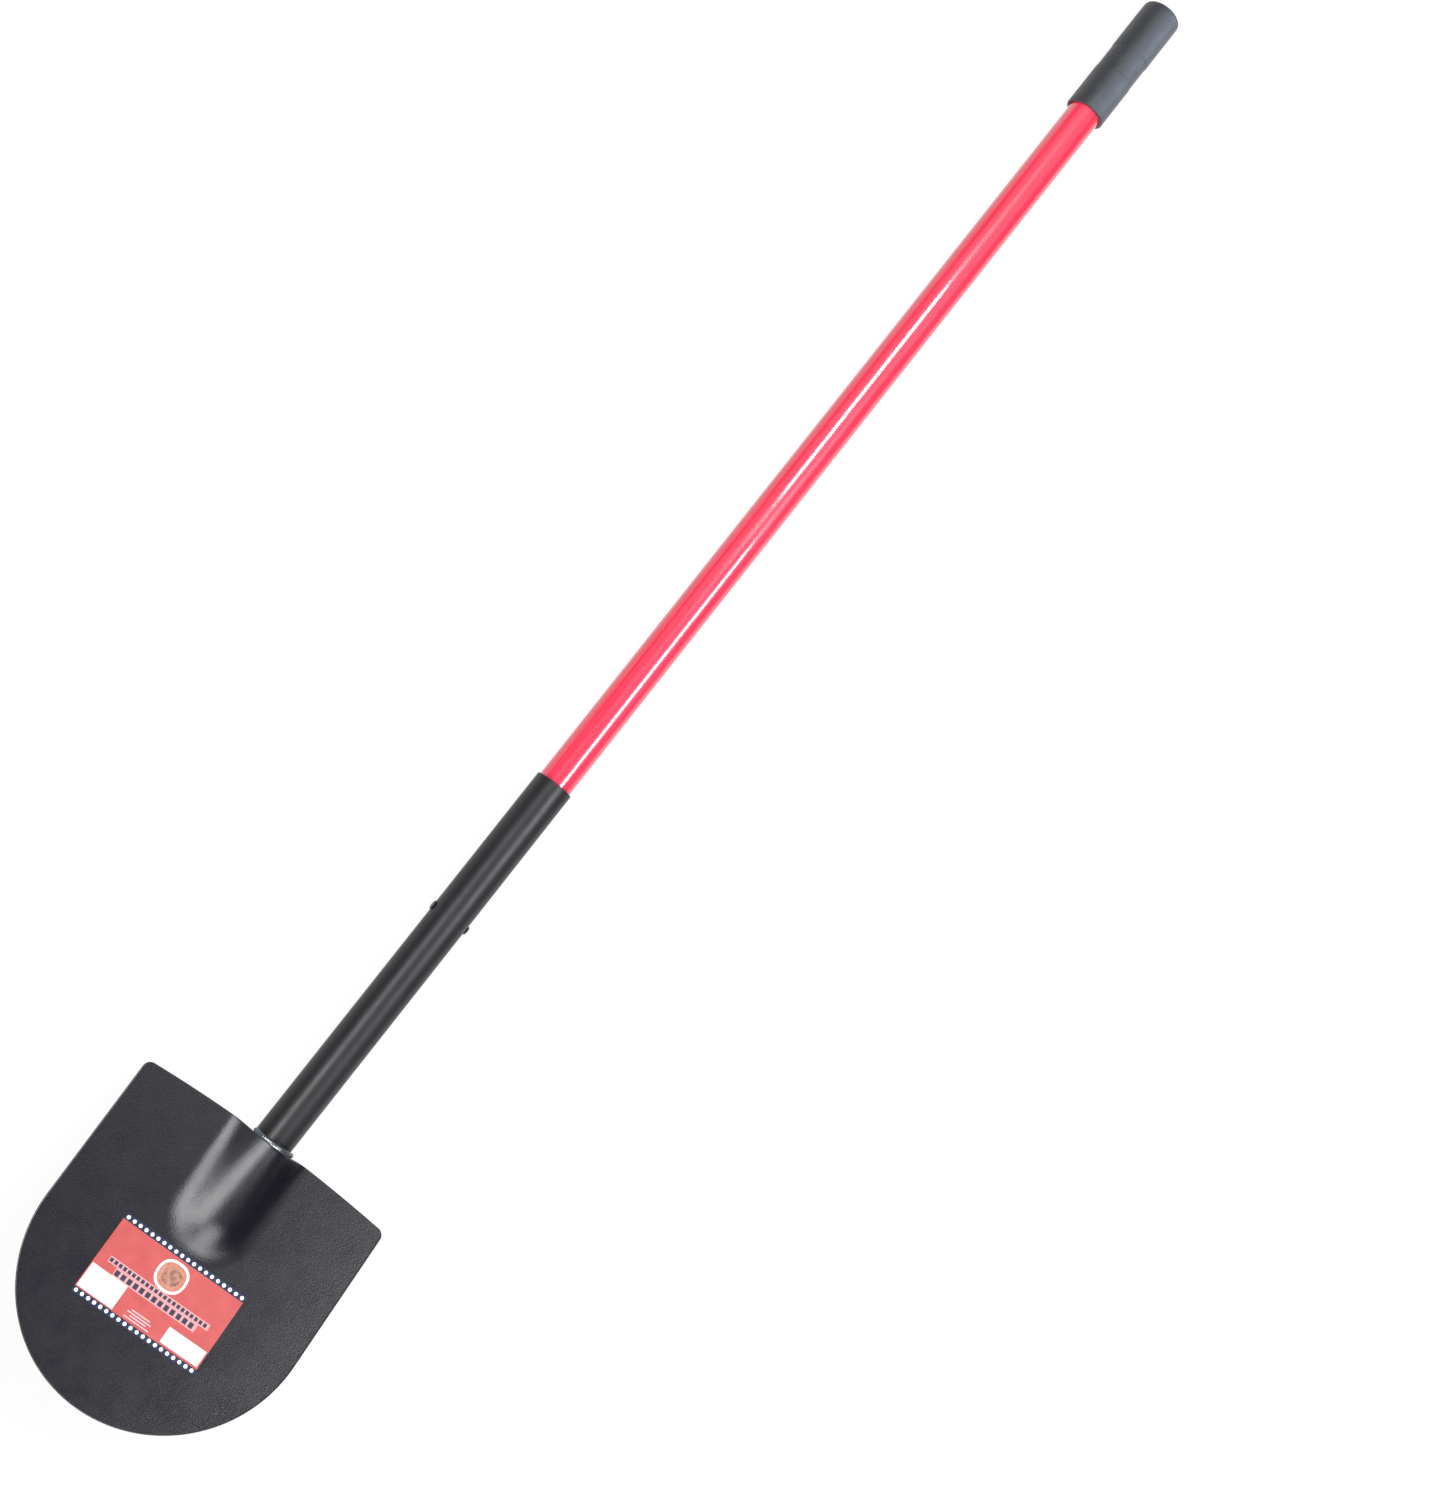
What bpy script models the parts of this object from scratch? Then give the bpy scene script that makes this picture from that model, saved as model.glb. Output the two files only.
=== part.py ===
"""A long-handled round point shovel: pressed steel blade, welded socket tube, riveted fibreglass handle.

Metres, +Z up. The shovel lies face up along X, the grip at +X and the tip of the blade at -X.
"""

from math import atan2, cos, pi, radians, sin, sqrt

import bmesh
import bpy
from mathutils import Vector

GAP = 0.0003  # clearance between pieces that touch

# Blade: U runs across it, V from its top edge to its tip, and N out of its face.
BLADE_HALF_WIDTH = 0.119
BLADE_LENGTH = 0.2455
NOSE_HEIGHT = 0.1145  # height of the elliptical nose, below the straight sides
BLADE_SHEET = 0.002
BLADE_LIFT = radians(14.0)  # how far the blade tips up from the handle line
BLADE_FACE_DROP = 0.009  # face of the flat shoulders below the handle line, at the top edge
BLADE_DISH = 0.010  # how far the sides stand above the middle
SHOULDER_DROP = 0.0042  # how far the arched top edge falls at the corners
CORNER_RADIUS = 0.007

# Hump pressed into the blade over the end of the tube.
HUMP_HALF_WIDTH = 0.0395
HUMP_SPINE = 0.074  # length of its straight part, before its rounded end
HUMP_HEIGHT = 0.0308
HUMP_FALL = 0.31  # how fast its crest drops towards the tip
HUMP_LEVELLING = 1.2  # how fast that drop eases, per metre
CREST_SHARE = 0.45  # share of the half width that is rounded crest
FLANK_SHARE = 0.62  # share at which the straight flank runs into the hollow foot

# Socket tube, measured along X from the top edge of the blade.
TUBE_RADIUS = 0.0168
TUBE_WALL = 0.0014
TUBE_TOP = 0.3645
TUBE_TOE = 0.074  # reach of the tube's upper side under the hump
TUBE_HEEL = 0.028  # reach of its lower side, after the slanted cut

# Handle.
HANDLE_RADIUS = 0.0151
HANDLE_WALL = 0.0026
INNER_TUBE_WALL = 0.0025
HANDLE_START = 0.180
CORE_LENGTH = 0.240
END_INSET = 0.002  # the inner pieces stop this far short of the outer tube's ends

# Cross rivet.
RIVET_X = 0.2265
RIVET_RADIUS = 0.0025
RIVET_HOLE_RADIUS = RIVET_RADIUS + GAP
FACTORY_HEAD_RADIUS = 0.0042
FACTORY_HEAD_HEIGHT = 0.0013
SHOP_HEAD_RADIUS = 0.0038
SHOP_HEAD_HEIGHT = 0.0018
HEAD_RIM_SHARE = 0.35  # share of a head's height that is its straight rim

# Grip.
GRIP_START = 1.1152
GRIP_END = 1.2351
GRIP_RADIUS = 0.01825
GRIP_END_WALL = 0.004
GRIP_EDGE = 0.0042  # radius of the rounded end
GRIP_LIP = 0.0008  # radius of the rounded rim
BAND_START = 1.158
BAND_END = 1.183
BAND_DEPTH = 0.0004

# Weld beads.
FRONT_BEAD_RADIUS = 0.0020
FRONT_BEAD_REACH = radians(72.0)
REAR_BEAD_RADIUS = 0.0024
REAR_BEAD_START = 0.004
REAR_BEAD_END = 0.058

# Label, in the blade's U and V.
LABEL_WIDTH = 0.1165
LABEL_HEIGHT = 0.0705
LABEL_U = -0.001
LABEL_V = 0.1433
LABEL_THICKNESS = 0.0003

# Mesh fineness.
MERGE = 0.00001
TURNED_STEPS = 48
RIVET_STEPS = 24
HOLE_STEPS = 24
CORE_STEPS = 32
HUMP_COLUMNS = 14
HUMP_REACH = 1.1  # how far the hump's close columns go, in its half widths
SIDE_COLUMNS = 11
UPPER_ROWS = 24
LOWER_ROWS = 13
BEAD_SIDES = 10

TIP_X = -BLADE_LENGTH * cos(BLADE_LIFT) - BLADE_SHEET * sin(BLADE_LIFT)
MIDDLE_X = (GRIP_END + TIP_X) / 2
AXIS_HEIGHT = GRIP_RADIUS  # the grip rests on the floor
AXIS_ORIGIN = Vector((-MIDDLE_X, 0.0, AXIS_HEIGHT))
BLADE_ORIGIN = AXIS_ORIGIN - Vector((0.0, 0.0, BLADE_FACE_DROP))
ALONG_X = (0.0, pi / 2, 0.0)
ALONG_Y = (pi / 2, 0.0, 0.0)


# ---- Scene and materials ----

def clear_scene():
    for obj in list(bpy.data.objects):
        bpy.data.objects.remove(obj, do_unlink=True)


def new_collection(name):
    collection = bpy.data.collections.new(name)
    bpy.context.scene.collection.children.link(collection)
    return collection


def material(name, color, roughness, metallic=0.0):
    mat = bpy.data.materials.new(name)
    mat.use_nodes = True
    shader = mat.node_tree.nodes["Principled BSDF"]
    shader.inputs["Base Color"].default_value = (*color, 1.0)
    shader.inputs["Roughness"].default_value = roughness
    shader.inputs["Metallic"].default_value = metallic
    return mat


def add_object(name, mesh, collection, mat=None):
    obj = bpy.data.objects.new(name, mesh)
    collection.objects.link(obj)
    if mat is not None:
        mesh.materials.append(mat)
    return obj


def mesh_from(name, points, faces=(), edges=()):
    mesh = bpy.data.meshes.new(name)
    mesh.from_pydata([tuple(p) for p in points], list(edges), list(faces))
    mesh.update()
    return mesh


# ---- Shape tools ----

def turned(name, profile, collection, mat, steps=TURNED_STEPS):
    """A profile of (radius, distance along X) turned about the handle line."""
    points = [(radius, 0.0, x) for radius, x in profile]
    edges = [(i, i + 1) for i in range(len(points) - 1)]
    obj = add_object(name, mesh_from(name, points, edges=edges), collection, mat)
    screw = obj.modifiers.new("Turn", "SCREW")
    screw.steps = steps
    screw.render_steps = steps
    screw.use_merge_vertices = True
    screw.merge_threshold = MERGE
    obj.rotation_euler = ALONG_X
    obj.location = AXIS_ORIGIN
    return obj


def tube_profile(inner, outer, start, end):
    """The closed profile of a tube, which ends where it starts."""
    return [(inner, end), (outer, end), (outer, start), (inner, start), (inner, end)]


def quarter_arc(center_radius, center_x, radius, first, last, steps=5):
    """Points (radius, x) on an arc about a centre, from one angle to another, in degrees from +X."""
    angles = [radians(first + (last - first) * i / steps) for i in range(steps + 1)]
    return [(center_radius + radius * sin(a), center_x + radius * cos(a)) for a in angles]


def cylinder_mesh(name, radius, depth, segments):
    bm = bmesh.new()
    bmesh.ops.create_cone(
        bm, cap_ends=True, segments=segments, radius1=radius, radius2=radius, depth=depth)
    mesh = bpy.data.meshes.new(name)
    bm.to_mesh(mesh)
    bm.free()
    return mesh


def cut(obj, cutter):
    boolean = obj.modifiers.new("Cut " + cutter.name, "BOOLEAN")
    boolean.operation = "DIFFERENCE"
    boolean.solver = "EXACT"
    boolean.object = cutter


def as_cutter(obj):
    obj.hide_render = True
    obj.display_type = "WIRE"
    return obj


def swept_bead(name, path, radius, collection, mat):
    """A round bead along a path, closed at both ends."""
    curve = bpy.data.curves.new(name, "CURVE")
    curve.dimensions = "3D"
    curve.bevel_depth = radius
    curve.bevel_resolution = BEAD_SIDES // 2 - 2
    curve.use_fill_caps = True
    spline = curve.splines.new("POLY")
    spline.points.add(len(path) - 1)
    for point, place in zip(spline.points, path):
        point.co = (*place, 1.0)
    draft = bpy.data.objects.new(name + "_path", curve)
    bpy.context.scene.collection.objects.link(draft)
    evaluated = draft.evaluated_get(bpy.context.evaluated_depsgraph_get())
    mesh = bpy.data.meshes.new_from_object(evaluated)
    matrix = draft.matrix_world.copy()
    bpy.data.objects.remove(draft, do_unlink=True)
    bm = bmesh.new()
    bm.from_mesh(mesh)
    bmesh.ops.remove_doubles(bm, verts=bm.verts, dist=MERGE)
    bmesh.ops.recalc_face_normals(bm, faces=bm.faces)
    bm.to_mesh(mesh)
    bm.free()
    mesh.materials.clear()
    bead = add_object(name, mesh, collection, mat)
    bead.matrix_world = matrix
    return bead


# ---- Blade surface ----

def hump_profile(q):
    """Height of the hump's cross-section, 1 on the crest and 0 at the foot, at q half widths out."""
    steepest = 2.0 / (1.0 + FLANK_SHARE - CREST_SHARE)
    if q >= 1.0:
        return 0.0
    if q <= CREST_SHARE:
        return 1.0 - steepest * q * q / (2.0 * CREST_SHARE)
    if q <= FLANK_SHARE:
        return 1.0 - steepest * (q - CREST_SHARE / 2.0)
    return steepest * (1.0 - q) ** 2 / (2.0 * (1.0 - FLANK_SHARE))


def face_height(u, v):
    """Height of the blade's face above its flat, from the dish and the hump."""
    crest = HUMP_HEIGHT - HUMP_FALL * v + HUMP_LEVELLING * v * v
    out = abs(u) if v < HUMP_SPINE else sqrt(u * u + (v - HUMP_SPINE) ** 2)
    dish = BLADE_DISH * (u / BLADE_HALF_WIDTH) ** 2
    return dish + crest * hump_profile(out / HUMP_HALF_WIDTH)


def face_slope(u, v, step=0.0002):
    across = (face_height(u + step, v) - face_height(u - step, v)) / (2 * step)
    along = (face_height(u, v + step) - face_height(u, v - step)) / (2 * step)
    return across, along


def top_edge(u):
    """V of the top edge, which is trimmed square to the handle line and arched down to its corners."""
    share = abs(u) / BLADE_HALF_WIDTH
    v = 0.0
    for _ in range(8):
        v = (face_height(u, v) * sin(BLADE_LIFT) + SHOULDER_DROP * share * share) / cos(BLADE_LIFT)
    into_corner = abs(u) - (BLADE_HALF_WIDTH - CORNER_RADIUS)
    if into_corner > 0.0:
        v += CORNER_RADIUS - sqrt(max(CORNER_RADIUS ** 2 - into_corner ** 2, 0.0))
    return v


def nose_edge(u):
    """V of the lower edge, an ellipse that runs into the straight sides."""
    share = min(abs(u) / BLADE_HALF_WIDTH, 1.0)
    return BLADE_LENGTH - NOSE_HEIGHT + NOSE_HEIGHT * sqrt(1.0 - share * share)


def blade_columns():
    """U of each column of the blade's grid, closest together on the hump and near the sides."""
    hump_edge = HUMP_HALF_WIDTH * HUMP_REACH
    inner = [hump_edge * i / HUMP_COLUMNS for i in range(HUMP_COLUMNS + 1)]
    rest = BLADE_HALF_WIDTH - hump_edge
    outer = [hump_edge + rest * sin(pi / 2 * i / SIDE_COLUMNS) for i in range(1, SIDE_COLUMNS + 1)]
    right = inner + outer
    return [-u for u in reversed(right[1:])] + right


def row_shares():
    upper = [0.5 * i / UPPER_ROWS for i in range(UPPER_ROWS)]
    lower = [0.5 + 0.5 * sin(pi / 2 * i / LOWER_ROWS) for i in range(LOWER_ROWS + 1)]
    return upper + lower


def surface_grid(columns, rows, place):
    """A sheet of quads whose corner (i, j) is place(column i, row j)."""
    points = [place(c, r) for c in columns for r in rows]
    count = len(rows)
    faces = []
    for i in range(len(columns) - 1):
        for j in range(count - 1):
            corner = i * count + j
            faces.append((corner, corner + 1, corner + count + 1, corner + count))
    return points, faces


def blade_place(u, share):
    first = top_edge(u)
    v = first + (nose_edge(u) - first) * share
    return (-v, -u, face_height(u, v))


def shell(obj, thickness, offset):
    solidify = obj.modifiers.new("Sheet", "SOLIDIFY")
    solidify.thickness = thickness
    solidify.offset = offset
    solidify.use_even_offset = True
    solidify.use_quality_normals = True


def lay_on_blade(obj):
    """Places an object drawn in the blade's own (-V, -U, N) directions."""
    obj.location = BLADE_ORIGIN
    obj.rotation_euler = (0.0, BLADE_LIFT, 0.0)


def make_blade(collection):
    points, faces = surface_grid(blade_columns(), row_shares(), blade_place)
    paint = material("blade_black_paint", (0.028, 0.027, 0.029), 0.5)
    obj = add_object("blade", mesh_from("blade", points, faces), collection, paint)
    shell(obj, BLADE_SHEET, -1.0)
    lay_on_blade(obj)
    return obj


def make_label(collection):
    columns = [LABEL_U + LABEL_WIDTH * (i / 12 - 0.5) for i in range(13)]
    rows = [LABEL_V + LABEL_HEIGHT * (j / 8 - 0.5) for j in range(9)]

    def place(u, v):
        return (-v, -u, face_height(u, v) + GAP)

    points, faces = surface_grid(columns, rows, place)
    print_red = material("label_red_print", (0.55, 0.06, 0.06), 0.35)
    obj = add_object("blade_label", mesh_from("blade_label", points, faces), collection, print_red)
    shell(obj, LABEL_THICKNESS, 1.0)
    lay_on_blade(obj)
    return obj


# ---- Socket tube and welds ----

def slant_cutter(cutters):
    """A block that takes the slanted end off the tube, longer on its upper side."""
    high = Vector((-TUBE_TOE, 0.0, TUBE_RADIUS))
    low = Vector((-TUBE_HEEL, 0.0, -TUBE_RADIUS))
    length = 0.2
    width = 3 * TUBE_RADIUS
    depth = 0.1
    bm = bmesh.new()
    bmesh.ops.create_cube(bm, size=1.0)
    bmesh.ops.scale(bm, verts=bm.verts, vec=(length, width, depth))
    bmesh.ops.translate(bm, verts=bm.verts, vec=(0.0, 0.0, -depth / 2))
    mesh = bpy.data.meshes.new("slant_cutter")
    bm.to_mesh(mesh)
    bm.free()
    cutter = as_cutter(add_object("slant_cutter", mesh, cutters))
    cutter.location = AXIS_ORIGIN + (high + low) / 2
    cutter.rotation_euler = (0.0, atan2(high.z - low.z, low.x - high.x), 0.0)
    return cutter


def rivet_hole_cutter(cutters):
    mesh = cylinder_mesh("rivet_hole_cutter", RIVET_HOLE_RADIUS, 4 * TUBE_RADIUS, HOLE_STEPS)
    cutter = as_cutter(add_object("rivet_hole_cutter", mesh, cutters))
    cutter.location = AXIS_ORIGIN + Vector((RIVET_X, 0.0, 0.0))
    cutter.rotation_euler = ALONG_Y
    return cutter


def make_socket_tube(collection, slant, hole):
    paint = material("tube_black_paint", (0.030, 0.029, 0.032), 0.42)
    profile = tube_profile(TUBE_RADIUS - TUBE_WALL, TUBE_RADIUS, -TUBE_TOE, TUBE_TOP)
    obj = turned("socket_tube", profile, collection, paint)
    cut(obj, slant)
    cut(obj, hole)
    return obj


def make_front_weld(collection):
    """A bead round the tube's upper side, where it meets the top edge of the blade."""
    paint = material("weld_black_paint", (0.034, 0.034, 0.037), 0.38)
    out = TUBE_RADIUS + GAP + FRONT_BEAD_RADIUS
    steps = 24
    path = []
    for i in range(steps + 1):
        angle = FRONT_BEAD_REACH * (2 * i / steps - 1)
        place = Vector((GAP + FRONT_BEAD_RADIUS, out * sin(angle), out * cos(angle)))
        path.append(AXIS_ORIGIN + place)
    return swept_bead("front_weld", path, FRONT_BEAD_RADIUS, collection, paint)


def under_blade(x, y, z):
    """Distance of a point, given from the handle line, below the back of the blade's sheet."""
    from_face = z + BLADE_FACE_DROP
    v = -x * cos(BLADE_LIFT) + from_face * sin(BLADE_LIFT)
    n = x * sin(BLADE_LIFT) + from_face * cos(BLADE_LIFT)
    across, along = face_slope(y, v)
    slant = sqrt(1.0 + across * across + along * along)
    return (face_height(y, v) - n) / slant - BLADE_SHEET


def groove_angle(x, out, clear):
    """Angle from straight up at which a bead beside the tube just clears the blade's back."""
    low = radians(20.0)
    high = radians(130.0)
    for _ in range(30):
        middle = (low + high) / 2
        if under_blade(x, out * sin(middle), out * cos(middle)) < clear:
            low = middle
        else:
            high = middle
    return high


def make_rear_weld(name, side, collection):
    """A bead in the groove between the tube and the underside of the hump."""
    paint = material(name + "_black_paint", (0.034, 0.034, 0.037), 0.4)
    out = TUBE_RADIUS + GAP + REAR_BEAD_RADIUS
    steps = 12
    path = []
    for i in range(steps + 1):
        x = -(REAR_BEAD_START + (REAR_BEAD_END - REAR_BEAD_START) * i / steps)
        angle = groove_angle(x, out, REAR_BEAD_RADIUS + GAP)
        path.append(AXIS_ORIGIN + Vector((x, side * out * sin(angle), out * cos(angle))))
    return swept_bead(name, path, REAR_BEAD_RADIUS, collection, paint)


# ---- Handle, rivet and grip ----

def make_handle_outer_tube(collection, hole):
    red = material("handle_red_fibreglass", (0.80, 0.035, 0.06), 0.22)
    profile = tube_profile(
        HANDLE_RADIUS - HANDLE_WALL, HANDLE_RADIUS, HANDLE_START, GRIP_END - GRIP_END_WALL - GAP)
    obj = turned("handle_outer_tube", profile, collection, red)
    cut(obj, hole)
    return obj


def make_handle_inner_tube(collection, hole):
    resin = material("inner_tube_fibreglass", (0.62, 0.56, 0.42), 0.5)
    outer = HANDLE_RADIUS - HANDLE_WALL - GAP
    profile = tube_profile(
        outer - INNER_TUBE_WALL, outer, HANDLE_START + END_INSET,
        GRIP_END - GRIP_END_WALL - END_INSET)
    obj = turned("handle_inner_tube", profile, collection, resin)
    cut(obj, hole)
    return obj


def make_handle_core(collection, hole):
    wood = material("core_wood", (0.50, 0.34, 0.19), 0.7)
    radius = HANDLE_RADIUS - HANDLE_WALL - INNER_TUBE_WALL - 2 * GAP
    obj = add_object("handle_core", cylinder_mesh("handle_core", radius, CORE_LENGTH, CORE_STEPS),
                     collection, wood)
    obj.rotation_euler = ALONG_X
    start = HANDLE_START + 2 * END_INSET
    obj.location = AXIS_ORIGIN + Vector((start + CORE_LENGTH / 2, 0.0, 0.0))
    cut(obj, hole)
    return obj


def rivet_head(edge_radius, height, seat, sign):
    """Half-profile of a low domed head: points (radius, distance) from its underside to its top."""
    rise = height * HEAD_RIM_SHARE
    dome = [(edge_radius * cos(a), seat + rise + (height - rise) * sin(a))
            for a in [radians(d) for d in (0, 20, 40, 60, 78)]]
    points = [(RIVET_RADIUS, seat), (edge_radius, seat)] + dome + [(0.0, seat + height)]
    return [(radius, sign * along) for radius, along in points]


def make_cross_rivet(collection):
    """One rivet straight through, its factory head on the left side and its shop head on the right."""
    steel = material("rivet_black_paint", (0.032, 0.031, 0.034), 0.4)
    seat = TUBE_RADIUS + GAP
    left = rivet_head(FACTORY_HEAD_RADIUS, FACTORY_HEAD_HEIGHT, seat, 1.0)
    right = rivet_head(SHOP_HEAD_RADIUS, SHOP_HEAD_HEIGHT, seat, -1.0)
    obj = turned("cross_rivet", list(reversed(left)) + right, collection, steel, RIVET_STEPS)
    obj.rotation_euler = (-pi / 2, 0.0, 0.0)
    obj.location = AXIS_ORIGIN + Vector((RIVET_X, 0.0, 0.0))
    return obj


def make_end_grip(collection):
    """A rubber sleeve with a closed, rounded end and one shallow band."""
    rubber = material("grip_black_rubber", (0.045, 0.050, 0.055), 0.6)
    inner = HANDLE_RADIUS + GAP
    closed = GRIP_END - GRIP_END_WALL
    outer_edge = quarter_arc(GRIP_RADIUS - GRIP_EDGE, GRIP_END - GRIP_EDGE, GRIP_EDGE, 0, 90)
    lip = quarter_arc(GRIP_RADIUS - GRIP_LIP, GRIP_START + GRIP_LIP, GRIP_LIP, 90, 180, 3)
    sunk = GRIP_RADIUS - BAND_DEPTH
    band = [(GRIP_RADIUS, BAND_END), (sunk, BAND_END - BAND_DEPTH),
            (sunk, BAND_START + BAND_DEPTH), (GRIP_RADIUS, BAND_START)]
    profile = [(0.0, GRIP_END)] + outer_edge + band + lip
    profile += [(inner, GRIP_START), (inner, closed), (0.0, closed)]
    return turned("end_grip", profile, collection, rubber)


def build():
    clear_scene()
    pieces = new_collection("round_point_shovel")
    cutters = new_collection("cutters")
    slant = slant_cutter(cutters)
    hole = rivet_hole_cutter(cutters)
    make_blade(pieces)
    make_label(pieces)
    make_socket_tube(pieces, slant, hole)
    make_front_weld(pieces)
    make_rear_weld("rear_weld_left", 1.0, pieces)
    make_rear_weld("rear_weld_right", -1.0, pieces)
    make_handle_outer_tube(pieces, hole)
    make_handle_inner_tube(pieces, hole)
    make_handle_core(pieces, hole)
    make_cross_rivet(pieces)
    make_end_grip(pieces)


build()
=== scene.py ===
"""The looks of the long-handled round point shovel: fine meshes, finishes, studio light and camera.

Metres, in the CAD model's frame: the handle runs along X with the grip at +X, +Y is the shovel's left
side, and its working face looks up along +Z.
"""

from math import cos, hypot, pi, radians, sin, sqrt

import bmesh
import bpy
import numpy as np
from mathutils import Euler, Matrix, Vector


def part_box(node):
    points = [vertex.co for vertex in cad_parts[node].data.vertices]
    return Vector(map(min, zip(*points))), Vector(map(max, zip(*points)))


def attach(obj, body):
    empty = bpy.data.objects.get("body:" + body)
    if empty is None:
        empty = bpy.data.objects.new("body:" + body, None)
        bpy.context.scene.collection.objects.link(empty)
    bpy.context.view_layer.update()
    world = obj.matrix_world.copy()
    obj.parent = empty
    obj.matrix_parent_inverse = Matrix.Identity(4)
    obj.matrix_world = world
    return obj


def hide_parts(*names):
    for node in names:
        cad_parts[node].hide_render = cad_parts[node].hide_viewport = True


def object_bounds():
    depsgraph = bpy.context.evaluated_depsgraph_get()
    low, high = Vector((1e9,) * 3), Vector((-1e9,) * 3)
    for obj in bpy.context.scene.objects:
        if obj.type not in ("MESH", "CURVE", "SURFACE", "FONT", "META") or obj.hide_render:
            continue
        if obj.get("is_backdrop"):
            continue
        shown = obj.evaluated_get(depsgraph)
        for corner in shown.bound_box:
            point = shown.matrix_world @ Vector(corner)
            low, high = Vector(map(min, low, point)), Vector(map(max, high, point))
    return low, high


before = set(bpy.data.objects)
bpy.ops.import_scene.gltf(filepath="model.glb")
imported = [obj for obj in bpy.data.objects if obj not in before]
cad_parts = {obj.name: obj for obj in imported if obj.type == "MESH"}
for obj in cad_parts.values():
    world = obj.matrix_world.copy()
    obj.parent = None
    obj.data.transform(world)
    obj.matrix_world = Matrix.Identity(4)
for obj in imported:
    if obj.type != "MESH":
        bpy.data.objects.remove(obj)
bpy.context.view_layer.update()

# ---- Sizes, in metres ----

GAP = 0.0003

BLADE_HALF_WIDTH = 0.119
BLADE_LENGTH = 0.2455
NOSE_HEIGHT = 0.1145
BLADE_SHEET = 0.002
BLADE_LIFT = radians(14.0)
BLADE_FACE_DROP = 0.009
BLADE_DISH = 0.010
SHOULDER_DROP = 0.0042
CORNER_RADIUS = 0.007
SHEET_EDGE = 0.0006  # radius of the painted sheet's edges
BLADE_COLUMNS = 170
BLADE_ROWS = 150
SLOPE_STEP = 0.0002
TOP_EDGE_ROUNDS = 8  # rounds in which the trimmed top edge settles
TOP_POINTS = 200  # points along each part of half the outline
CORNER_POINTS = 30
SIDE_POINTS = 60
NOSE_POINTS = 240

HUMP_HALF_WIDTH = 0.0395
HUMP_SPINE = 0.074
HUMP_HEIGHT = 0.0308
HUMP_FALL = 0.31
HUMP_LEVELLING = 1.2
CREST_SHARE = 0.45
FLANK_SHARE = 0.62

TUBE_WALL = 0.0014
TUBE_TOP = 0.3645
TUBE_TOE = 0.074
TUBE_HEEL = 0.028
TUBE_EDGE = 0.0005
TUBE_RING_STEP = 0.004

HANDLE_WALL = 0.0026
HANDLE_EDGE = 0.0004
HANDLE_RING_STEP = 0.005

RIVET_X = 0.2265
RIVET_RADIUS = 0.0025
RIVET_SHOP_HEAD = 0.0038
RIVET_HEAD_EDGE = 0.0002
RIVET_RIM_SHARE = 0.3  # share of a head's height that is its straight rim

GRIP_END_WALL = 0.004
GRIP_EDGE = 0.0042
GRIP_LIP = 0.0008
BAND_START = 0.0428  # from the grip's open rim
BAND_END = 0.0678
BAND_DEPTH = 0.0004
GRIP_RING_STEP = 0.006
BAND_RING_STEP = 0.005
BORE_RING_STEP = 0.020

FRONT_WELD_RADIUS = 0.0022
FRONT_WELD_SPREAD = radians(76.0)  # how far it goes round the tube on each side
FRONT_WELD_OUT = 0.0018
FRONT_WELD_X = 0.0016
REAR_WELD_RADIUS = 0.0026
REAR_WELD_START = 0.003
REAR_WELD_LENGTH = 0.056
WELD_SINK = 0.0002
WELD_SIDES = 20
SCALLOP_PITCH = 0.0021
SCALLOP_MIDDLE = 0.6  # the height between crest and trough that keeps the bead's radius
BEAD_END_SHARE = 0.02  # share of the radius left at a bead's ends
GROOVE_SEARCH = (radians(20.0), radians(130.0))  # round the tube from its top
GROOVE_ROUNDS = 30

LABEL_WIDTH = 0.1165
LABEL_HEIGHT = 0.0705
LABEL_U = -0.001
LABEL_V = 0.1433
LABEL_LIFT = 0.00008
LABEL_THICKNESS = 0.0002
LABEL_COLUMNS = 72
LABEL_ROWS = 44

ROUND_STEPS = 128  # segments round the tube, handle, grip and rivet
HOLE_STEPS = 48
MERGE_DISTANCE = 0.000001
SHARP_ANGLE = radians(50.0)

# ---- Places, from the CAD model's boxes ----

_, tube_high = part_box("socket_tube")
handle_low, handle_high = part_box("handle_outer_tube")
grip_low, grip_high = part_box("end_grip")

TUBE_RADIUS = tube_high.y
HANDLE_RADIUS = handle_high.y
GRIP_RADIUS = grip_high.y
AXIS = Vector((tube_high.x - TUBE_TOP, 0.0, (handle_low.z + handle_high.z) / 2))
HANDLE_START = handle_low.x - AXIS.x
HANDLE_END = handle_high.x - AXIS.x
GRIP_START = grip_low.x - AXIS.x
GRIP_END = grip_high.x - AXIS.x
BLADE_PLACE = AXIS - Vector((0.0, 0.0, BLADE_FACE_DROP))
TO_BLADE = Matrix.Translation(BLADE_PLACE) @ Matrix.Rotation(BLADE_LIFT, 4, "Y")


# ---- Finishes ----

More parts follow.
